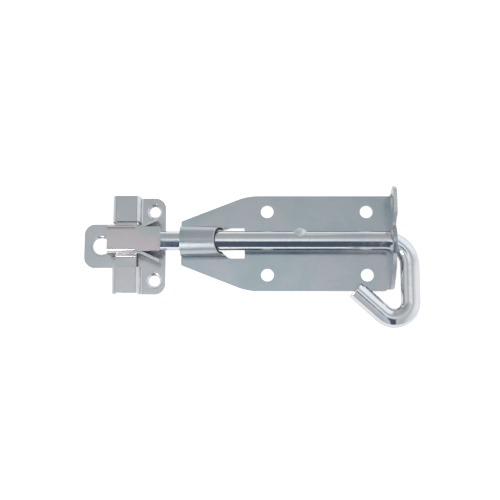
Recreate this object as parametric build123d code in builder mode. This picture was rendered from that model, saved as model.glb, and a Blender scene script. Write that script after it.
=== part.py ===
"""Padbolt: a bent round bolt in a folded back plate, with an adjustable keeper. Millimetres.

X runs along the bolt towards the handle, Y towards the padlock ear, Z away from the door.
The origin is the middle of the plate's four screw holes, on the mounting plane.
"""

import os
from math import cos, radians, sin, tan

from build123d import *

# Back plate
plate_t = 2.0
plate_w = 50.5
front_x = -71.3
front_w = 23.2
taper_angle = 21.4
taper_r = 30.0
screw_dx = 52.2
screw_dy = 33.7
screw_d = 6.8
front_r = 1.0

# Bolt
rod_d = 10.0
rod_z = 9.2
tip_x = -105.5
tip_chamfer = 1.0
stop_x = -9.4
stop_y = 2.3
stop_r = 4.6

# Handle, bent in the bolt's own plane
arm_x = 47.2
bend_r = 12.5
hook_r = 8.5
hook_y = -31.7
hook_angle = 42.0
hook_len = 18.9
hook_edge = 0.6

# Guide bridge, pressed up out of the plate, and the window lanced behind it
bridge_gap = 0.7
bridge_t = 1.7
bridge_len = 17.3
bridge_root_r = 1.0
bridge_knee_z = 9.0
bridge_knee_r = 4.0
bridge_foot_x = -46.6
window_x = -38.0
window_w = 16.4
window_neck_x = -53.3
window_taper_x = -45.1
window_r = 0.5

# End flange with the bolt's hole and the padlock ear
flange_in = 38.0
flange_bend_r = 1.0
bolt_hole_d = 12.8
bolt_hole_flare = 0.9
boss_r = 8.9
shoulder_y = 24.4
shoulder_foot_z = 3.0
shoulder_top_y = 13.0
shoulder_z = 14.4
shoulder_r = 6.0
valley_y = 6.0
valley_z = 8.0
valley_r = 2.0
ear_in_y = 11.8
ear_tip_y = 29.6
ear_top_z = 20.6
ear_foot_z = 9.0
ear_in_r = 4.0
ear_tip_r = 5.0
ear_neck_r = 6.0
padlock_y = 19.8
padlock_z = 13.2
padlock_d = 8.0

# Keeper base, set a little low so that the slider is raised to the bolt
keeper_t = 1.6
keeper_drop = 1.5
keeper_w = 51.0
keeper_right = -79.5
keeper_corner_r = 5.5
keeper_screw_x = -85.2
keeper_screw_dy = 36.7
keeper_screw_d = 5.6
keeper_sink_d = 8.0
tunnel_x = -99.5
tunnel_w = 14.6
tunnel_z = 8.5
tunnel_bend_r = 0.9
tongue_w = 23.0
tongue_slit = 0.4
tab_x = -122.1
tab_r = 5.4
tab_hole_x = -113.2
tab_hole_d = 8.6
tab_sink_d = 10.4

# Keeper slider
slider_t = 1.5
slider_gap = 0.7
lid_gap = 0.6
lid_left = -108.4
lid_right = -81.2
lid_bend_r = 0.9
foot_gap = 0.3
foot_roof_gap = 0.2
foot_reach = 18.0
foot_corner_r = 1.5
cheek_slit_x = -94.0
cheek_bend_x = -91.5
cheek_end_x = -82.1
cheek_angle = 24.5
cheek_gap = 0.3
cheek_slit = 1.0
lid_front_w = 12.7
lid_corner_r = 1.5
relief_d = 2.4

# Sizes that follow
rod_r = rod_d / 2
flange_out = flange_in + plate_t
fold_x = flange_in - 2 * flange_bend_r
fold_top = max(rod_z + boss_r, ear_top_z)
taper_x = front_x + (plate_w - front_w) / 2 / tan(radians(taper_angle))
bridge_in_r = rod_r + bridge_gap
bridge_out_r = bridge_in_r + bridge_t
bridge_rear = front_x + bridge_len
bridge_top = rod_z + bridge_out_r
tongue_end = tongue_w / 2 + tongue_slit
roof_under = tunnel_z - keeper_t
slider_in = rod_r + slider_gap
slider_out = slider_in + slider_t
lid_under = rod_z + rod_r + lid_gap
lid_top = lid_under + slider_t
foot_top = roof_under - foot_roof_gap
foot_low = foot_top - slider_t
foot_len = tunnel_w - 2 * keeper_t - 2 * foot_gap
cheek_low = keeper_t + cheek_gap
cheek_top = lid_under - cheek_slit
flare = radians(cheek_angle)
cheek_out = (cheek_end_x - cheek_bend_x) * tan(flare)
cheek_rim = slider_in + cheek_out + slider_t * cos(flare)
keeper_plane = Plane((0, -keeper_drop, 0))

# Back plate: the end flange first, an L-shaped fold cut to its outline as seen along the bolt
with BuildPart() as back_plate:
    with BuildSketch(Plane.XZ):
        with BuildLine():
            Polyline(
                (fold_x, 0),
                (flange_out, 0),
                (flange_out, fold_top),
                (flange_in, fold_top),
                (flange_in, plate_t),
                (fold_x, plate_t),
                close=True,
            )
        make_face()
        fillet(vertices().group_by(Axis.Y)[0].sort_by(Axis.X)[-1], flange_bend_r + plate_t)
        fillet(vertices().group_by(Axis.Y)[-2].sort_by(Axis.X)[-1], flange_bend_r)
    extrude(amount=ear_tip_y, both=True)
    with BuildSketch(Plane.YZ.offset(fold_x)):
        with BuildLine():
            Polyline(
                (-shoulder_y, 0),
                (-shoulder_y, shoulder_foot_z),
                (-shoulder_top_y, shoulder_z),
                (valley_y, shoulder_z),
                (valley_y, valley_z),
                (ear_in_y, ear_top_z),
                (ear_tip_y, ear_top_z),
                (plate_w / 2, ear_foot_z),
                (plate_w / 2, 0),
                close=True,
            )
        make_face()
        for corner_y in (-shoulder_y, -shoulder_top_y):
            corner = vertices().filter_by_position(Axis.X, corner_y - 0.01, corner_y + 0.01)
            fillet(corner.sort_by(Axis.Y)[-1], shoulder_r)
        fillet(vertices().filter_by_position(Axis.X, ear_tip_y - 0.01, ear_tip_y + 0.01), ear_tip_r)
        fillet(vertices().filter_by_position(Axis.X, ear_in_y - 0.01, ear_in_y + 0.01), ear_in_r)
        neck = vertices().filter_by_position(Axis.X, plate_w / 2 - 0.01, plate_w / 2 + 0.01)
        fillet(neck.sort_by(Axis.Y)[-1], ear_neck_r)
        with Locations((0, rod_z)):
            Circle(boss_r)
        fillet(vertices().filter_by_position(Axis.X, 0.75 * boss_r, 1.1 * boss_r), valley_r)
        fillet(vertices().filter_by_position(Axis.X, -1.1 * boss_r, -0.75 * boss_r), valley_r)
        with Locations((padlock_y, padlock_z)):
            Circle(padlock_d / 2, mode=Mode.SUBTRACT)
        with Locations((0, rod_z)):
            Circle(bolt_hole_d / 2, mode=Mode.SUBTRACT)
    extrude(amount=flange_out - fold_x, mode=Mode.INTERSECT)
    rims = edges().filter_by(GeomType.CIRCLE).filter_by(lambda e: abs(e.radius - bolt_hole_d / 2) < 0.01)
    chamfer(rims.sort_by(Axis.X)[-1], bolt_hole_flare)

    # Flat blank with its tapered front, and one corner rounded into the flange
    with BuildSketch():
        with BuildLine():
            Polyline(
                (front_x, -front_w / 2),
                (taper_x, -plate_w / 2),
                (fold_x, -plate_w / 2),
                (fold_x, plate_w / 2),
                (taper_x, plate_w / 2),
                (front_x, front_w / 2),
                close=True,
            )
        make_face()
        fillet(vertices().group_by(Axis.X)[-1].sort_by(Axis.Y)[0], plate_w / 2 - shoulder_y)
        fillet(vertices().filter_by_position(Axis.X, taper_x - 0.01, taper_x + 0.01), taper_r)
        fillet(vertices().group_by(Axis.X)[0], front_r)
        with GridLocations(screw_dx, screw_dy, 2, 2):
            Circle(screw_d / 2, mode=Mode.SUBTRACT)
    extrude(amount=plate_t)

    # Guide bridge over the bolt, its walls running out behind it
    with BuildSketch(Plane.YZ.offset(front_x)):
        with Locations((0, rod_z / 2)):
            Rectangle(2 * bridge_out_r, rod_z)
        with Locations((0, rod_z)):
            Circle(bridge_out_r)
    extrude(amount=bridge_foot_x - front_x)
    roots = edges().filter_by(Axis.X).filter_by_position(Axis.Z, plate_t - 0.01, plate_t + 0.01)
    fillet(roots.filter_by(lambda e: abs(abs(e.center().Y) - bridge_out_r) < 0.01), bridge_root_r)
    with BuildSketch(Plane.YZ.offset(front_x)):
        with Locations((0, rod_z / 2)):
            Rectangle(2 * bridge_in_r, rod_z)
        with Locations((0, rod_z)):
            Circle(bridge_in_r)
    extrude(amount=bridge_foot_x - front_x, mode=Mode.SUBTRACT)
    under = edges().filter_by(Axis.X).filter_by_position(Axis.Z, -0.01, 0.01)
    fillet(under.filter_by(lambda e: abs(abs(e.center().Y) - bridge_in_r) < 0.01), bridge_root_r)

    # Rear of the bridge, upright over the bolt and then falling away to the plate
    with BuildSketch(Plane.XZ):
        with BuildLine():
            Polyline(
                (bridge_rear, bridge_top + plate_t),
                (bridge_rear, bridge_knee_z),
                (bridge_foot_x, plate_t),
                (window_x, plate_t),
                (window_x, bridge_top + plate_t),
                close=True,
            )
        make_face()
        fillet(vertices().group_by(Axis.X)[0].sort_by(Axis.Y)[0], bridge_knee_r)
    extrude(amount=bridge_out_r + 2 * bridge_root_r, both=True, mode=Mode.SUBTRACT)

    # Window behind the bridge
    with BuildSketch():
        with BuildLine():
            Polyline(
                (window_neck_x, -bridge_in_r),
                (window_taper_x, -window_w / 2),
                (window_x, -window_w / 2),
                (window_x, window_w / 2),
                (window_taper_x, window_w / 2),
                (window_neck_x, bridge_in_r),
                close=True,
            )
        make_face()
        fillet(vertices().group_by(Axis.X)[-1], window_r)
    extrude(amount=bridge_top, mode=Mode.SUBTRACT)
back_plate.part.label = "back_plate"

# Bolt: one round bar, straight, bent into the arm and bent back into the hook
with BuildPart() as bolt_rod:
    with BuildLine() as route:
        shank = Line((tip_x, 0, rod_z), (arm_x - bend_r, 0, rod_z))
        bend = JernArc(shank @ 1, shank % 1, bend_r, -90)
        arm = Line(bend @ 1, (arm_x, hook_y, rod_z))
        turn = JernArc(arm @ 1, arm % 1, hook_r, -90 - hook_angle)
        Line(turn @ 1, turn @ 1 + (turn % 1) * hook_len)
    with BuildSketch(Plane(route.wire() @ 0, z_dir=route.wire() % 0)):
        Circle(rod_r)
    sweep()
    ends = faces().filter_by(GeomType.PLANE).sort_by(Axis.X)
    chamfer(ends[0].edges(), tip_chamfer)
    fillet(ends[-1].edges(), hook_edge)

    # Stop, a dome raised on the bar's padlock side
    with Locations((stop_x, stop_y, rod_z)):
        Sphere(stop_r)
bolt_rod.part.label = "bolt_rod"

# Keeper base: flat strip and tongue, with a tunnel raised at each end
with BuildPart() as keeper_base:
    with BuildSketch(keeper_plane):
        with Locations((keeper_right, 0)):
            Rectangle(
                keeper_right - tunnel_x - tunnel_w / 2 + keeper_t, keeper_w, align=(Align.MAX, Align.CENTER)
            )
        fillet(vertices().group_by(Axis.X)[-1], keeper_corner_r)
        with Locations((tab_x, 0)):
            Rectangle(tunnel_x + tunnel_w / 2 - tab_x, tongue_w, align=(Align.MIN, Align.CENTER))
        fillet(vertices().group_by(Axis.X)[0], tab_r)
    extrude(amount=keeper_t)
    for side in (1, -1):
        with BuildSketch(Plane.XZ.offset(keeper_drop - side * tongue_end)):
            with Locations((tunnel_x, 0)):
                Rectangle(tunnel_w, tunnel_z, align=(Align.CENTER, Align.MIN))
            fillet(vertices().group_by(Axis.Y)[-1], tunnel_bend_r + keeper_t)
        extrude(amount=-side * (keeper_w / 2 - tongue_end))
    for side in (1, -1):
        with BuildSketch(Plane.XZ.offset(keeper_drop - side * tongue_end)):
            with Locations((tunnel_x, 0)):
                Rectangle(tunnel_w - 2 * keeper_t, roof_under, align=(Align.CENTER, Align.MIN))
            fillet(vertices().group_by(Axis.Y)[-1], tunnel_bend_r)
        extrude(amount=-side * (keeper_w / 2 - tongue_end), mode=Mode.SUBTRACT)
    feet = edges().filter_by(Axis.Y).filter_by_position(Axis.Z, keeper_t - 0.01, keeper_t + 0.01)
    fillet(
        feet.filter_by(lambda e: abs(e.center().X - tunnel_x - tunnel_w / 2) < 0.01), tunnel_bend_r
    )
    with Locations(keeper_plane.offset(keeper_t)):
        with Locations((keeper_screw_x, keeper_screw_dy / 2), (keeper_screw_x, -keeper_screw_dy / 2)):
            CounterSinkHole(keeper_screw_d / 2, keeper_sink_d / 2)
        with Locations((tab_hole_x, 0)):
            CounterSinkHole(tab_hole_d / 2, tab_sink_d / 2)
keeper_base.part.label = "keeper_base"

# Keeper slider: hood over the bolt, feet under the tunnels and cheeks flared at the mouth
with BuildPart() as keeper_slider:
    with BuildSketch(Plane.YZ.offset(lid_left)):
        with Locations((0, lid_top)):
            Rectangle(2 * slider_out, lid_top - foot_low, align=(Align.CENTER, Align.MAX))
        fillet(vertices().group_by(Axis.Y)[-1], lid_bend_r + slider_t)
    extrude(amount=cheek_slit_x - lid_left)
    with BuildSketch(Plane.XY.offset(foot_low)):
        with Locations((tunnel_x, 0)):
            Rectangle(foot_len, 2 * foot_reach)
        fillet(vertices(), foot_corner_r)
    extrude(amount=slider_t)
    roots = edges().filter_by(Axis.X).filter_by_position(Axis.Z, foot_top - 0.01, foot_top + 0.01)
    fillet(roots.filter_by(lambda e: abs(abs(e.center().Y) - slider_out) < 0.01), lid_bend_r)
    with BuildSketch(Plane.YZ.offset(lid_left)):
        with Locations((0, lid_under)):
            Rectangle(2 * slider_in, lid_under - foot_low, align=(Align.CENTER, Align.MAX))
        fillet(vertices().group_by(Axis.Y)[-1], lid_bend_r)
    extrude(amount=cheek_slit_x - lid_left, mode=Mode.SUBTRACT)

    # Front of the lid, slit free of the cheeks
    with BuildSketch(Plane.XY.offset(lid_under)):
        with Locations((cheek_slit_x, 0)):
            Rectangle(lid_right - cheek_slit_x, lid_front_w, align=(Align.MIN, Align.CENTER))
        fillet(vertices().group_by(Axis.X)[-1], lid_corner_r)
    extrude(amount=slider_t)

    # Cheeks, straight out of the walls and then flared
    with BuildSketch(Plane.XY.offset(cheek_low)):
        for side in (1, -1):
            with BuildLine():
                Polyline(
                    (cheek_slit_x - slider_t, side * slider_in),
                    (cheek_bend_x, side * slider_in),
                    (cheek_end_x, side * (slider_in + cheek_out)),
                    (cheek_end_x - slider_t * sin(flare), side * cheek_rim),
                    (cheek_bend_x - slider_t * tan(flare / 2), side * slider_out),
                    (cheek_slit_x - slider_t, side * slider_out),
                    close=True,
                )
            make_face()
    extrude(amount=cheek_top - cheek_low)

    # Round reliefs where the slits start
    with BuildSketch(Plane.XY.offset(cheek_top)):
        with Locations((cheek_slit_x, slider_out), (cheek_slit_x, -slider_out)):
            Circle(relief_d / 2)
    extrude(amount=lid_top - cheek_top, mode=Mode.SUBTRACT)
keeper_slider.part.label = "keeper_slider"

os.makedirs("parts", exist_ok=True)
export_step(back_plate.part, "parts/back_plate.step")
export_step(bolt_rod.part, "parts/bolt_rod.step")
export_step(keeper_base.part, "parts/keeper_base.step")
export_step(keeper_slider.part, "parts/keeper_slider.step")
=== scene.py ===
import math

import bmesh
import bpy
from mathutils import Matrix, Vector
from mathutils.bvhtree import BVHTree


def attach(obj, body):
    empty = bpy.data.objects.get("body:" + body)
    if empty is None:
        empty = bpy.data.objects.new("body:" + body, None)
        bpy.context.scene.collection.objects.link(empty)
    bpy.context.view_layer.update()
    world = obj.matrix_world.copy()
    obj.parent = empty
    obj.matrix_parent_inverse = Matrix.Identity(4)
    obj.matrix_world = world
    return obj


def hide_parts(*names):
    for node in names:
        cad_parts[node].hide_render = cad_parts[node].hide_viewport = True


MM = 0.001
WELD = 0.002 * MM

# Camera: the photograph's view, nearly straight down, leaning towards the handle's side
IMAGE_SIZE = 500
FOCAL_PIXELS = 1000.0
SENSOR_WIDTH = 36.0
CAMERA_DISTANCE = 526.0 * MM
CAMERA_LEAN = math.radians(9.5)
CAMERA_TARGET = Vector((-35.2, -3.3, 0.0)) * MM

# White paper under the part, in metres, and its levels, where 1 is white
PAPER_SIZE = 4.0
PAPER_DROP = 0.05 * MM
PAPER_DIFFUSE = 0.60
PAPER_GLOW = 0.78
PAPER_GLOW_IN_METAL = 0.40

# Room: its level by direction towards Y, times its evenness along X, as (direction, level) stops
ROOM_COLOUR = (0.97, 1.0, 1.02, 1)
ROOM_BY_Y = (
    (-1.0, 0.62), (-0.40, 0.66), (-0.10, 0.70), (0.12, 0.67),
    (0.22, 0.59), (0.47, 0.47), (0.75, 0.42), (1.0, 0.50),
)
ROOM_BY_X = (
    (-1.0, 0.82), (-0.90, 1.05), (-0.63, 0.76), (-0.24, 0.94),
    (0.0, 1.02), (0.39, 0.80), (0.73, 1.20), (1.0, 1.40),
)

# Light banks and the dark camera stand that the metal mirrors, each by direction as (low, high, softness)
STRIP_LEVEL = 0.93
STRIP_X = (-0.45, 0.09, 0.07)
STRIP_Y = (-0.26, 0.14, 0.06)
CORNER_LEVEL = 1.0
CORNER_X = (0.30, 0.95, 0.12)
CORNER_Y = (0.35, 0.95, 0.12)
STAND_LEVEL = 0.075
STAND_COLOUR = (0.90, 1.20, 1.70, 1)
STAND_COLUMN_X = (-0.12, 0.150, 0.02)
STAND_COLUMN_Y = (-2.0, -0.28, 0.10)
STAND_HEAD_X = (-0.27, -0.085, 0.02)
STAND_HEAD_Y = (-0.27, 0.0, 0.03)

# Lamps, in metres and watts
KEY_PLACE = (0.2, 0.7, 0.9)
KEY_SIZE = (0.6, 0.6)
KEY_WATTS = 4.0
FRONT_LAMP_PLACE = (-0.150, -0.140, 0.120)
FRONT_LAMP_AIM = (-0.062, 0.0, 0.012)
FRONT_LAMP_SIZE = (0.045, 0.150)
FRONT_LAMP_WATTS = 0.150

# Bolt bar, in millimetres
BAR_RADIUS = 5.0
BAR_HEIGHT = 9.2
BAR_SIDES = 72
TIP_X = -105.5
TIP_CHAMFER = 1.0
ARM_X = 47.2
BEND_RADIUS = 12.5
BEND_STEPS = 28
HOOK_RADIUS = 8.5
HOOK_Y = -31.7
HOOK_ANGLE = math.radians(42.0)
HOOK_LENGTH = 18.9
HOOK_ROUND = 0.6
HOOK_ROUND_STEPS = 4
STOP_CENTRE = (-9.4, 2.3, BAR_HEIGHT)
STOP_RADIUS = 4.6
STOP_SEGMENTS = 64
STOP_RINGS = 40

# Pressed sheet and its rolled edges, in millimetres
PLATE_SHEET = 2.0
KEEPER_SHEET = 1.6
HOOD_SHEET = 1.5
EDGE_ROLL = 0.22
EDGE_ANGLE = math.radians(32)
FLAT_ANGLE = math.radians(0.4)
SMOOTH_ANGLE = math.radians(50)
STRAY_CORNER = 0.6 * EDGE_ROLL
RAY_START = 0.01

# The bridge's rear edge, in millimetres
BRIDGE_END = -45.0
BRIDGE_FOOT = -46.6
BRIDGE_REAR = -54.0
BRIDGE_KNEE = 9.0
BRIDGE_TOP = 16.6
REAR_MARGIN = 0.5

# Areas of a sheet: depth of a rim and height of the bridge in thicknesses, and how far a face turns to X
FACE, RIM, FIRST_AREA = 0, 1, 2
RIM_DEPTH = 1.6
DRAWN_ABOVE = 1.1
LANCED_FACING = 0.6
WALL_FACING = 0.3

# Zinc plating: hazes from the dull to the bright of its clouds, and spans of roughness
HAZE_STOPS = (0.38, 0.50, 0.62)
PLATE_HAZE = ((0.48, 0.56, 0.59), (0.52, 0.58, 0.61), (0.57, 0.59, 0.63))
KEEPER_HAZE = ((0.56, 0.60, 0.62), (0.60, 0.615, 0.635), (0.645, 0.64, 0.66))
# The walls' haze is painted light: paler, to stand in for the bright light that the tunnels' side walls
# catch
WALL_PAINTED_LIGHT_HAZE = ((0.80, 0.84, 0.86), (0.84, 0.85, 0.87), (0.88, 0.87, 0.89))
HOOD_HAZE = ((0.69, 0.63, 0.65), (0.64, 0.605, 0.62), (0.56, 0.59, 0.61))
EDGE_TINT = ((0.3, (0.66, 0.69, 0.71)), (0.7, (0.80, 0.80, 0.81)))
BAR_TINT = ((0.35, (0.74, 0.80, 0.84)), (0.65, (0.86, 0.84, 0.85)))
FLAT_ROUGH = (0.17, 0.25)
DRAWN_ROUGH = (0.36, 0.43)
EDGE_ROUGH = (0.34, 0.50)
BAR_ROUGH = (0.07, 0.14)
STOP_ROUGH = 0.5

# Lie of the finish: scale by axis of rolling grain, shear lines and draw lines, and the bridge's pull
ROLLED = (1.0, 0.07, 0.3)
SHEARED = (1.0, 1.0, 0.2)
DRAWN = (0.10, 1.0, 1.0)
BRIDGE_PULL = 0.8
QUARTER_TURN = 0.25

# Finish that changes near a form, in millimetres: satin plating round the stop, and painted shade that
# darkens the lanced edge towards the bridge's bore
STOP_SATIN = 0.25
STOP_SOFT = 0.2
BORE_SHADE = (6.6, 7.2)
BORE_SHADE_DARKEST = 0.06


def add_node(tree, kind, **sockets):
    """One node with its input sockets set by name."""
    node = tree.nodes.new(kind)
    for socket, value in sockets.items():
        node.inputs[socket.replace("_", " ")].default_value = value
    return node


def calc(tree, operation, *inputs, kind="ShaderNodeMath", result="Value"):
    """The result of an operation on the outputs of other nodes and on set values."""
    node = tree.nodes.new(kind)
    node.operation = operation
    for socket, value in zip(node.inputs, inputs):
        if isinstance(value, bpy.types.NodeSocket):
            tree.links.new(value, socket)
        else:
            socket.default_value = value
    return node.outputs[result]


def spread(tree, value, low, high, start=0.0, stop=1.0):
    """A value running from start to stop, spread between two levels."""
    node = add_node(tree, "ShaderNodeMapRange", From_Min=start, From_Max=stop, To_Min=low, To_Max=high)
    tree.links.new(value, node.inputs["Value"])
    return node.outputs["Result"]


def band(tree, value, low, high, soft):
    """1 between low and high, falling to 0 over soft on each side."""
    sides = []
    for edge, before, after in ((low, 0.0, 1.0), (high, 1.0, 0.0)):
        side = spread(tree, value, before, after, edge - soft, edge + soft)
        side.node.interpolation_type = "SMOOTHSTEP"
        sides.append(side)
    return calc(tree, "MULTIPLY", *sides)


def mix_level(tree, base, level, mask):
    """base where the mask is 0 and level where it is 1."""
    node = add_node(tree, "ShaderNodeMix", B=level)
    tree.links.new(mask, node.inputs["Factor"])
    tree.links.new(base, node.inputs["A"])
    return node.outputs["Result"]


def colour_ramp(tree, value, stops):
    """A colour that runs with a value through (position, colour) stops."""
    node = tree.nodes.new("ShaderNodeValToRGB")
    elements = node.color_ramp.elements
    while len(elements) < len(stops):
        elements.new(0.5)
    for element, (position, colour) in zip(elements, stops):
        element.position = position
        element.color = (*colour, 1)
    tree.links.new(value, node.inputs["Fac"])
    return node.outputs["Color"]


def noise(tree, lie=(1.0, 1.0, 1.0), **sockets):
    """Noise on a piece's own coordinates, scaled along each axis by its lie."""
    place = tree.nodes.new("ShaderNodeTexCoord")
    mapping = add_node(tree, "ShaderNodeMapping", Scale=lie)
    texture = add_node(tree, "ShaderNodeTexNoise", **sockets)
    tree.links.new(place.outputs["Object"], mapping.inputs["Vector"])
    tree.links.new(mapping.outputs["Vector"], texture.inputs["Vector"])
    return texture.outputs["Fac"]


def raise_relief(tree, shader, *layers):
    """Relief in the plating, as (height, strength, depth) layers from the broad to the fine."""
    below = None
    for height, strength, depth in layers:
        bump = add_node(tree, "ShaderNodeBump", Strength=strength, Distance=depth)
        tree.links.new(height, bump.inputs["Height"])
        if below is not None:
            tree.links.new(below, bump.inputs["Normal"])
        below = bump.outputs["Normal"]
    tree.links.new(below, shader.inputs["Normal"])


def new_zinc(name):
    """A new metal material, with its node tree and its shader."""
    material = bpy.data.materials.new(name)
    material.use_nodes = True
    tree = material.node_tree
    shader = tree.nodes["Principled BSDF"]
    shader.inputs["Metallic"].default_value = 1.0
    return material, tree, shader


def zinc_sheet_material(name, haze, rough, pull=0.0):
    """Bright zinc on rolled sheet: satin and cloudy, with the faint blue and rose cast of its passivation.
    A pull above 0 is sheet drawn up into a form, which spreads light along the bolt."""
    material, tree, shader = new_zinc(name)
    shader.inputs["Anisotropic"].default_value = pull
    shader.inputs["Anisotropic Rotation"].default_value = QUARTER_TURN
    along = tree.nodes.new("ShaderNodeTangent")
    along.direction_type = "RADIAL"
    along.axis = "X"
    cloud = noise(tree, Scale=45.0, Detail=5.0, Roughness=0.55, Distortion=0.4)
    wave = noise(tree, Scale=110.0, Detail=2.0, Roughness=0.5)
    grain = noise(tree, ROLLED, Scale=1300.0, Detail=3.0, Roughness=0.6)
    tint = colour_ramp(tree, cloud, list(zip(HAZE_STOPS, haze)))
    tree.links.new(along.outputs["Tangent"], shader.inputs["Tangent"])
    tree.links.new(tint, shader.inputs["Base Color"])
    tree.links.new(spread(tree, wave, *rough), shader.inputs["Roughness"])
    raise_relief(tree, shader, (wave, 0.08, 0.6 * MM), (grain, 0.06, 0.2 * MM))
    return material


def painted_bore_shade(tree, tint):
    """A tint darkened towards the bolt's bore: painted shade for the shadowed gap between the bridge's rear
    edge and the bar.
    """
    place = tree.nodes.new("ShaderNodeTexCoord").outputs["Object"]
    kind = "ShaderNodeVectorMath"
    axis = (0, 0, -BAR_HEIGHT * MM)
    across = calc(tree, "MULTIPLY_ADD", place, (0, 1, 1), axis, kind=kind, result="Vector")
    reach = calc(tree, "LENGTH", across, kind=kind)
    shade = spread(tree, reach, BORE_SHADE_DARKEST, 1.0, *(edge * MM for edge in BORE_SHADE))
    return calc(tree, "MULTIPLY", tint, shade, kind=kind, result="Vector")


def cut_edge_material(name, with_bore_shade=False):
    """Sheared edge of the sheet, plated over: paler and less glossy than the face, with fine shear lines. On
    request it also carries painted shade, darkening towards the bolt's bore.
    """
    material, tree, shader = new_zinc(name)
    lines = noise(tree, SHEARED, Scale=900.0, Detail=2.0, Roughness=0.6)
    tint = colour_ramp(tree, lines, EDGE_TINT)
    # Painted shade: the tint darkens towards the bolt's bore
    if with_bore_shade:
        tint = painted_bore_shade(tree, tint)
    tree.links.new(tint, shader.inputs["Base Color"])
    tree.links.new(spread(tree, lines, *EDGE_ROUGH), shader.inputs["Roughness"])
    raise_relief(tree, shader, (lines, 0.12, 0.2 * MM))
    return material


def zinc_bar_material():
    """Bright zinc on drawn bar: glossy, with draw lines along the bolt and small ripples in the plating,
    and satin on the punched stop."""
    material, tree, shader = new_zinc("zinc_bar")
    lines = noise(tree, DRAWN, Scale=900.0, Detail=3.0, Roughness=0.6)
    ripple = noise(tree, Scale=260.0, Detail=2.0, Roughness=0.5)
    cloud = noise(tree, Scale=60.0, Detail=3.0, Roughness=0.5)
    place = tree.nodes.new("ShaderNodeTexCoord").outputs["Object"]
    reach = calc(tree, "DISTANCE", place, Vector(STOP_CENTRE) * MM, kind="ShaderNodeVectorMath")
    on_stop = band(tree, reach, -STOP_SOFT * MM, (STOP_RADIUS + STOP_SATIN) * MM, STOP_SOFT * MM)
    rough = mix_level(tree, spread(tree, lines, *BAR_ROUGH), STOP_ROUGH, on_stop)
    tree.links.new(colour_ramp(tree, cloud, BAR_TINT), shader.inputs["Base Color"])
    tree.links.new(rough, shader.inputs["Roughness"])
    raise_relief(tree, shader, (ripple, 0.12, 0.4 * MM), (lines, 0.06, 0.2 * MM))
    return material


def paper_material():
    """White paper that keeps a soft shadow, reads white to the camera and stays pale in the metal."""
    material = bpy.data.materials.new("white_paper")
    material.use_nodes = True
    tree = material.node_tree
    tree.nodes.remove(tree.nodes["Principled BSDF"])
    paper = add_node(tree, "ShaderNodeBsdfDiffuse", Color=(PAPER_DIFFUSE,) * 3 + (1,))
    glow = add_node(tree, "ShaderNodeEmission", Color=(1, 1, 1, 1))
    both = tree.nodes.new("ShaderNodeAddShader")
    path = tree.nodes.new("ShaderNodeLightPath").outputs
    mirrored = calc(tree, "MAXIMUM", path["Is Glossy Ray"], path["Is Transmission Ray"])
    in_metal = calc(tree, "MULTIPLY", mirrored, PAPER_GLOW_IN_METAL)
    strength = calc(tree, "MULTIPLY_ADD", path["Is Camera Ray"], PAPER_GLOW, in_metal)
    tree.links.new(strength, glow.inputs["Strength"])
    tree.links.new(paper.outputs["BSDF"], both.inputs[0])
    tree.links.new(glow.outputs["Emission"], both.inputs[1])
    tree.links.new(both.outputs["Shader"], tree.nodes["Material Output"].inputs["Surface"])
    return material


def settle_corners(shape, skin):
    """Corners that the rolling threw clear of the sheet's skin go back to their nearest neighbour."""
    loose = True
    while loose:
        loose = {vert for vert in shape.verts if skin.find_nearest(vert.co)[3] > STRAY_CORNER * MM}
        for vert in loose:
            around = [edge.other_vert(vert) for edge in vert.link_edges]
            settled = [other for other in around if other not in loose]
            if settled:
                vert.co = min(settled, key=lambda other: (other.co - vert.co).length).co
        bmesh.ops.remove_doubles(shape, verts=shape.verts, dist=WELD)


def rolled_shape(node):
    """The node's shape with its sheared edges rolled over."""
    shape = bmesh.new()
    shape.from_mesh(node.data)
    bmesh.ops.remove_doubles(shape, verts=shape.verts, dist=WELD)
    bmesh.ops.dissolve_limit(
        shape, angle_limit=FLAT_ANGLE, use_dissolve_boundaries=False,
        verts=shape.verts, edges=shape.edges, delimit=set(),
    )
    skin = BVHTree.FromBMesh(shape)
    sharp = [edge for edge in shape.edges if edge.is_manifold and edge.calc_face_angle(0) > EDGE_ANGLE]
    bmesh.ops.bevel(
        shape, geom=sharp, offset=EDGE_ROLL * MM, offset_type="OFFSET", segments=2, profile=0.6,
        affect="EDGES", clamp_overlap=False, harden_normals=False,
    )
    settle_corners(shape, skin)
    return shape


def slant_rear(shape):
    """The bridge's rear edge leans in one line from its crown to the plate, in place of the node's knee."""
    run = BRIDGE_FOOT - BRIDGE_REAR
    for vert in shape.verts:
        x = vert.co.x / MM
        height = vert.co.z / MM
        if BRIDGE_REAR - REAR_MARGIN < x < BRIDGE_END and PLATE_SHEET < height < BRIDGE_TOP:
            kneed = max(0.0, run * (BRIDGE_KNEE - height) / (BRIDGE_KNEE - PLATE_SHEET))
            leaning = run * (BRIDGE_TOP - height) / (BRIDGE_TOP - PLATE_SHEET)
            vert.co.x += max(0.0, leaning - kneed) * MM
    shape.normal_update()


def drawn_up(face):
    """Whether a face of the plate stands up in the bridge."""
    middle = face.calc_center_median()
    return middle.x < BRIDGE_END * MM and middle.z > DRAWN_ABOVE * PLATE_SHEET * MM


def on_bridge(face):
    """Whether a face is sheet drawn up over the bolt."""
    return face.material_index == FACE and drawn_up(face)


def on_lanced_edge(face):
    """Whether a face is the bridge's rear edge, lanced free of the plate."""
    behind = face.calc_center_median().x > (BRIDGE_REAR - REAR_MARGIN) * MM
    return behind and drawn_up(face) and face.normal.x > LANCED_FACING


def on_tunnel_wall(face):
    """Whether a face of the keeper turns towards X: the tunnels' side walls and the dimples, which get a
    paler haze as painted light.
    """
    return face.material_index == FACE and abs(face.normal.x) > WALL_FACING


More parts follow.
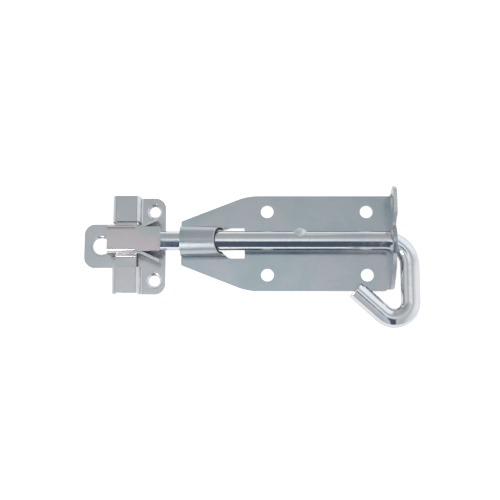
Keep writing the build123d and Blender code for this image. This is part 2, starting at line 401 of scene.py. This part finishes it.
def mark_areas(shape, sheet, areas):
    """Each face is FACE, or RIM where sheared, or one of the areas that follow, each told by a test."""
    skin = BVHTree.FromBMesh(shape)
    for face in shape.faces:
        start = face.calc_center_median() - face.normal * RAY_START * MM
        depth = skin.ray_cast(start, -face.normal)[3]
        face.material_index = FACE
        if depth is not None and depth > RIM_DEPTH * sheet * MM:
            face.material_index = RIM
        for index, in_area in enumerate(areas, FIRST_AREA):
            if in_area(face):
                face.material_index = index


def eased_sheet(node, sheet, areas=(), trim=None):
    """The node's sheet with rolled edges, trimmed, marked in areas and smooth across its bends."""
    shape = rolled_shape(node)
    if trim is not None:
        trim(shape)
    patch = shape.faces.layers.int.new("patch")
    for index, face in enumerate(shape.faces):
        face[patch] = index
        face.smooth = True
    facing = [face.normal * face.calc_area() for face in shape.faces]
    bmesh.ops.triangulate(shape, faces=[face for face in shape.faces if len(face.verts) > 4])
    mark_areas(shape, sheet, areas)
    normals = []
    for face in shape.faces:
        for loop in face.loops:
            near = {other[patch] for other in loop.vert.link_faces}
            parts = [facing[i] for i in near if facing[i].angle(face.normal, math.pi) < SMOOTH_ANGLE]
            normals.append(sum(parts, Vector()).normalized())
    mesh = bpy.data.meshes.new(node.name + "_eased")
    shape.to_mesh(mesh)
    shape.free()
    mesh.attributes.remove(mesh.attributes["patch"])
    mesh.normals_split_custom_set(normals)
    return mesh


def bar_route():
    """The bar's corners from tip to hook, as (place, girth, bend) with girth 1 for the full bar."""
    centre = Vector((ARM_X - HOOK_RADIUS, HOOK_Y, BAR_HEIGHT))
    away = Vector((-math.sin(HOOK_ANGLE), -math.cos(HOOK_ANGLE), 0))
    along = Vector((-math.cos(HOOK_ANGLE), math.sin(HOOK_ANGLE), 0))
    leg = centre + away * HOOK_RADIUS
    corner = leg - along * ((leg.x - ARM_X) / along.x)
    end = leg + along * HOOK_LENGTH
    route = [
        (Vector((TIP_X, 0, BAR_HEIGHT)), 1 - TIP_CHAMFER / BAR_RADIUS, 0.0),
        (Vector((TIP_X + TIP_CHAMFER, 0, BAR_HEIGHT)), 1.0, 0.0),
        (Vector((ARM_X, 0, BAR_HEIGHT)), 1.0, BEND_RADIUS),
        (corner, 1.0, HOOK_RADIUS),
        # A full ring short of the rounded end, so that the leg's shading stays straight
        (end - along * 2 * HOOK_ROUND, 1.0, 0.0),
    ]
    for step in range(HOOK_ROUND_STEPS + 1):
        turn = math.radians(90 * step / HOOK_ROUND_STEPS)
        back = HOOK_ROUND * (1 - math.sin(turn))
        girth = 1 - HOOK_ROUND * (1 - math.cos(turn)) / BAR_RADIUS
        route.append((end - along * back, girth, 0.0))
    return route


def bar_tree(material):
    """Geometry nodes that sweep a round bar along a route, and raise its stop."""
    tree = bpy.data.node_groups.new("drawn_bar", "GeometryNodeTree")
    face = tree.interface
    face.new_socket("Geometry", in_out="INPUT", socket_type="NodeSocketGeometry")
    for name in ("Bar Radius", "Stop Radius"):
        face.new_socket(name, in_out="INPUT", socket_type="NodeSocketFloat")
    face.new_socket("Stop Centre", in_out="INPUT", socket_type="NodeSocketVector")
    face.new_socket("Geometry", in_out="OUTPUT", socket_type="NodeSocketGeometry")
    start = tree.nodes.new("NodeGroupInput")
    end = tree.nodes.new("NodeGroupOutput")
    curve = tree.nodes.new("GeometryNodeMeshToCurve")
    bend = add_node(tree, "GeometryNodeInputNamedAttribute", Name="bend")
    girth = add_node(tree, "GeometryNodeInputNamedAttribute", Name="girth")
    fillet = tree.nodes.new("GeometryNodeFilletCurve")
    fillet.mode = "POLY"
    fillet.inputs["Count"].default_value = BEND_STEPS
    ring = add_node(tree, "GeometryNodeCurvePrimitiveCircle", Resolution=BAR_SIDES)
    sweep = add_node(tree, "GeometryNodeCurveToMesh", Fill_Caps=True)
    ball = add_node(tree, "GeometryNodeMeshUVSphere", Segments=STOP_SEGMENTS, Rings=STOP_RINGS)
    move = tree.nodes.new("GeometryNodeTransform")
    union = tree.nodes.new("GeometryNodeMeshBoolean")
    union.operation = "UNION"
    union.solver = "EXACT"
    weld = add_node(tree, "GeometryNodeMergeByDistance", Distance=WELD)
    realize = tree.nodes.new("GeometryNodeRealizeInstances")
    finish = add_node(tree, "GeometryNodeSetMaterial", Material=material)
    link = tree.links.new
    link(start.outputs["Geometry"], curve.inputs["Mesh"])
    link(curve.outputs["Curve"], fillet.inputs["Curve"])
    link(bend.outputs["Attribute"], fillet.inputs["Radius"])
    link(start.outputs["Bar Radius"], ring.inputs["Radius"])
    link(fillet.outputs["Curve"], sweep.inputs["Curve"])
    link(ring.outputs["Curve"], sweep.inputs["Profile Curve"])
    link(girth.outputs["Attribute"], sweep.inputs["Scale"])
    link(start.outputs["Stop Radius"], ball.inputs["Radius"])
    link(ball.outputs["Mesh"], move.inputs["Geometry"])
    link(start.outputs["Stop Centre"], move.inputs["Translation"])
    link(sweep.outputs["Mesh"], union.inputs["Mesh 2"])
    link(move.outputs["Geometry"], union.inputs["Mesh 2"])
    link(union.outputs["Mesh"], weld.inputs["Geometry"])
    link(weld.outputs["Geometry"], realize.inputs["Geometry"])
    link(realize.outputs["Geometry"], finish.inputs["Geometry"])
    link(finish.outputs["Geometry"], end.inputs["Geometry"])
    return tree


def drawn_bar(material):
    """The bolt's bar as one smooth mesh."""
    route = bar_route()
    wire = bpy.data.meshes.new("bar_route")
    wire.from_pydata([place * MM for place, _, _ in route], [(i, i + 1) for i in range(len(route) - 1)], [])
    girths = wire.attributes.new("girth", "FLOAT", "POINT")
    bends = wire.attributes.new("bend", "FLOAT", "POINT")
    for index, (_, girth, bend) in enumerate(route):
        girths.data[index].value = girth
        bends.data[index].value = bend * MM
    carrier = bpy.data.objects.new("bar_route", wire)
    bpy.context.scene.collection.objects.link(carrier)
    tree = bar_tree(material)
    modifier = carrier.modifiers.new("sweep", "NODES")
    modifier.node_group = tree
    sizes = {
        "Bar Radius": BAR_RADIUS * MM,
        "Stop Radius": STOP_RADIUS * MM,
        "Stop Centre": [value * MM for value in STOP_CENTRE],
    }
    for item in tree.interface.items_tree:
        if item.name in sizes:
            modifier[item.identifier] = sizes[item.name]
    carrier.update_tag()
    bpy.context.view_layer.update()
    mesh = bpy.data.meshes.new_from_object(carrier.evaluated_get(bpy.context.evaluated_depsgraph_get()))
    bpy.data.objects.remove(carrier)
    mesh.name = "drawn_bar"
    for polygon in mesh.polygons:
        polygon.use_smooth = True
    mesh.set_sharp_from_angle(angle=EDGE_ANGLE)
    return mesh


def add_piece(name, mesh, body, node):
    """A finished piece, in place of its CAD node, on the body that carries it."""
    piece = bpy.data.objects.new(name, mesh)
    bpy.context.scene.collection.objects.link(piece)
    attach(piece, body)
    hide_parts(node)


def dress(nodes):
    """Each CAD node gives way to its finished piece."""
    cut_edge = cut_edge_material("zinc_cut_edge")
    # The bridge's lanced edge carries painted shade that darkens it towards the bore
    shaded_lanced_edge = cut_edge_material("zinc_lanced_edge_painted_shade", with_bore_shade=True)
    plate_zinc = zinc_sheet_material("zinc_plate_face", PLATE_HAZE, FLAT_ROUGH)
    bridge_zinc = zinc_sheet_material("zinc_drawn_face", PLATE_HAZE, DRAWN_ROUGH, BRIDGE_PULL)
    keeper_zinc = zinc_sheet_material("zinc_keeper_face", KEEPER_HAZE, FLAT_ROUGH)
    # Painted light: the tunnels' side walls get a paler haze
    lit_wall_zinc = zinc_sheet_material("zinc_tunnel_wall_painted_light", WALL_PAINTED_LIGHT_HAZE, DRAWN_ROUGH)
    hood_zinc = zinc_sheet_material("zinc_hood_face", HOOD_HAZE, FLAT_ROUGH)
    plate = eased_sheet(nodes["back_plate"], PLATE_SHEET, (on_bridge, on_lanced_edge), slant_rear)
    strip = eased_sheet(nodes["keeper_base"], KEEPER_SHEET, (on_tunnel_wall,))
    hood = eased_sheet(nodes["keeper_slider"], HOOD_SHEET)
    for mesh, finishes in (
        (plate, (plate_zinc, cut_edge, bridge_zinc, shaded_lanced_edge)),
        (strip, (keeper_zinc, cut_edge, lit_wall_zinc)),
        (hood, (hood_zinc, cut_edge)),
    ):
        for finish in finishes:
            mesh.materials.append(finish)
    add_piece("plate_sheet", plate, "fixings", "back_plate")
    add_piece("keeper_strip", strip, "fixings", "keeper_base")
    add_piece("keeper_hood", hood, "slider", "keeper_slider")
    add_piece("bolt_bar", drawn_bar(zinc_bar_material()), "bolt", "bolt_rod")


def add_floor():
    """The paper that the padbolt lies on."""
    half = PAPER_SIZE / 2
    mesh = bpy.data.meshes.new("floor")
    corners = [(-half, -half, 0), (half, -half, 0), (half, half, 0), (-half, half, 0)]
    mesh.from_pydata(corners, [], [(0, 1, 2, 3)])
    mesh.materials.append(paper_material())
    floor = bpy.data.objects.new("floor", mesh)
    bpy.context.scene.collection.objects.link(floor)
    floor.location.z = -PAPER_DROP


def level_along(tree, value, stops):
    """A light level that runs through (direction, level) stops, with directions from -1 to 1."""
    brightest = max(level for _, level in stops)
    shares = [((place + 1) / 2, (level / brightest,) * 3) for place, level in stops]
    ramp = colour_ramp(tree, spread(tree, value, 0.0, 1.0, -1.0, 1.0), shares)
    ramp.node.color_ramp.interpolation = "EASE"
    return spread(tree, ramp, 0.0, brightest)


def light_room():
    """A pale room with a bank of light along the bolt overhead, a second in the corner beyond the handle,
    and the dark camera stand with its head."""
    world = bpy.data.worlds.new("studio")
    bpy.context.scene.world = world
    world.use_nodes = True
    tree = world.node_tree
    sky = tree.nodes["Background"]
    way = tree.nodes.new("ShaderNodeTexCoord")
    split = tree.nodes.new("ShaderNodeSeparateXYZ")
    tree.links.new(way.outputs["Generated"], split.inputs["Vector"])
    x = split.outputs["X"]
    y = split.outputs["Y"]
    room = calc(tree, "MULTIPLY", level_along(tree, y, ROOM_BY_Y), level_along(tree, x, ROOM_BY_X))
    strip = calc(tree, "MULTIPLY", band(tree, x, *STRIP_X), band(tree, y, *STRIP_Y))
    corner = calc(tree, "MULTIPLY", band(tree, x, *CORNER_X), band(tree, y, *CORNER_Y))
    column = calc(tree, "MULTIPLY", band(tree, x, *STAND_COLUMN_X), band(tree, y, *STAND_COLUMN_Y))
    head = calc(tree, "MULTIPLY", band(tree, x, *STAND_HEAD_X), band(tree, y, *STAND_HEAD_Y))
    stand = calc(tree, "MAXIMUM", column, head)
    level = mix_level(tree, room, STRIP_LEVEL, strip)
    level = mix_level(tree, level, CORNER_LEVEL, corner)
    level = mix_level(tree, level, STAND_LEVEL, stand)
    colour = tree.nodes.new("ShaderNodeMix")
    colour.data_type = "RGBA"
    room_socket, stand_socket = (socket for socket in colour.inputs if socket.type == "RGBA")
    room_socket.default_value = ROOM_COLOUR
    stand_socket.default_value = STAND_COLOUR
    mixed = next(socket for socket in colour.outputs if socket.type == "RGBA")
    tree.links.new(stand, colour.inputs["Factor"])
    tree.links.new(mixed, sky.inputs["Color"])
    tree.links.new(level, sky.inputs["Strength"])


def add_lamp(name, place, size, watts, aim):
    """A lamp of a width and height, turned to its aim, out of the camera's sight."""
    lamp = bpy.data.lights.new(name, "AREA")
    lamp.energy = watts
    lamp.shape = "RECTANGLE"
    lamp.size, lamp.size_y = size
    holder = bpy.data.objects.new(name, lamp)
    holder.location = place
    holder.rotation_euler = (Vector(aim) - holder.location).to_track_quat("-Z", "Y").to_euler()
    holder.visible_camera = False
    bpy.context.scene.collection.objects.link(holder)
    return holder


def add_lamps():
    """A soft key that the metal doesn't mirror, and a small lamp in front of the bridge."""
    key = add_lamp("key", KEY_PLACE, KEY_SIZE, KEY_WATTS, CAMERA_TARGET)
    key.visible_glossy = False
    add_lamp("front_lamp", FRONT_LAMP_PLACE, FRONT_LAMP_SIZE, FRONT_LAMP_WATTS, FRONT_LAMP_AIM)


def add_camera():
    """The photograph's camera."""
    lens = bpy.data.cameras.new("camera")
    lens.sensor_width = SENSOR_WIDTH
    lens.lens = SENSOR_WIDTH * FOCAL_PIXELS / IMAGE_SIZE
    camera = bpy.data.objects.new("camera", lens)
    away = Vector((0, -math.sin(CAMERA_LEAN), math.cos(CAMERA_LEAN)))
    camera.location = CAMERA_TARGET + away * CAMERA_DISTANCE
    camera.rotation_euler = (CAMERA_LEAN, 0, 0)
    bpy.context.scene.collection.objects.link(camera)
    bpy.context.scene.camera = camera


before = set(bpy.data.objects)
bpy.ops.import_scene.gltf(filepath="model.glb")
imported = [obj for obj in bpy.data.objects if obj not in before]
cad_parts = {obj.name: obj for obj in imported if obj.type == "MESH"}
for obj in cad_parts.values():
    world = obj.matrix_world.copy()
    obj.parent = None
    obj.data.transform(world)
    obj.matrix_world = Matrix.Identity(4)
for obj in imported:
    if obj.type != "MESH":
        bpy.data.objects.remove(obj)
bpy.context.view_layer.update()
bpy.context.scene.view_settings.view_transform = "Standard"
dress(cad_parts)
add_floor()
light_room()
add_lamps()
add_camera()
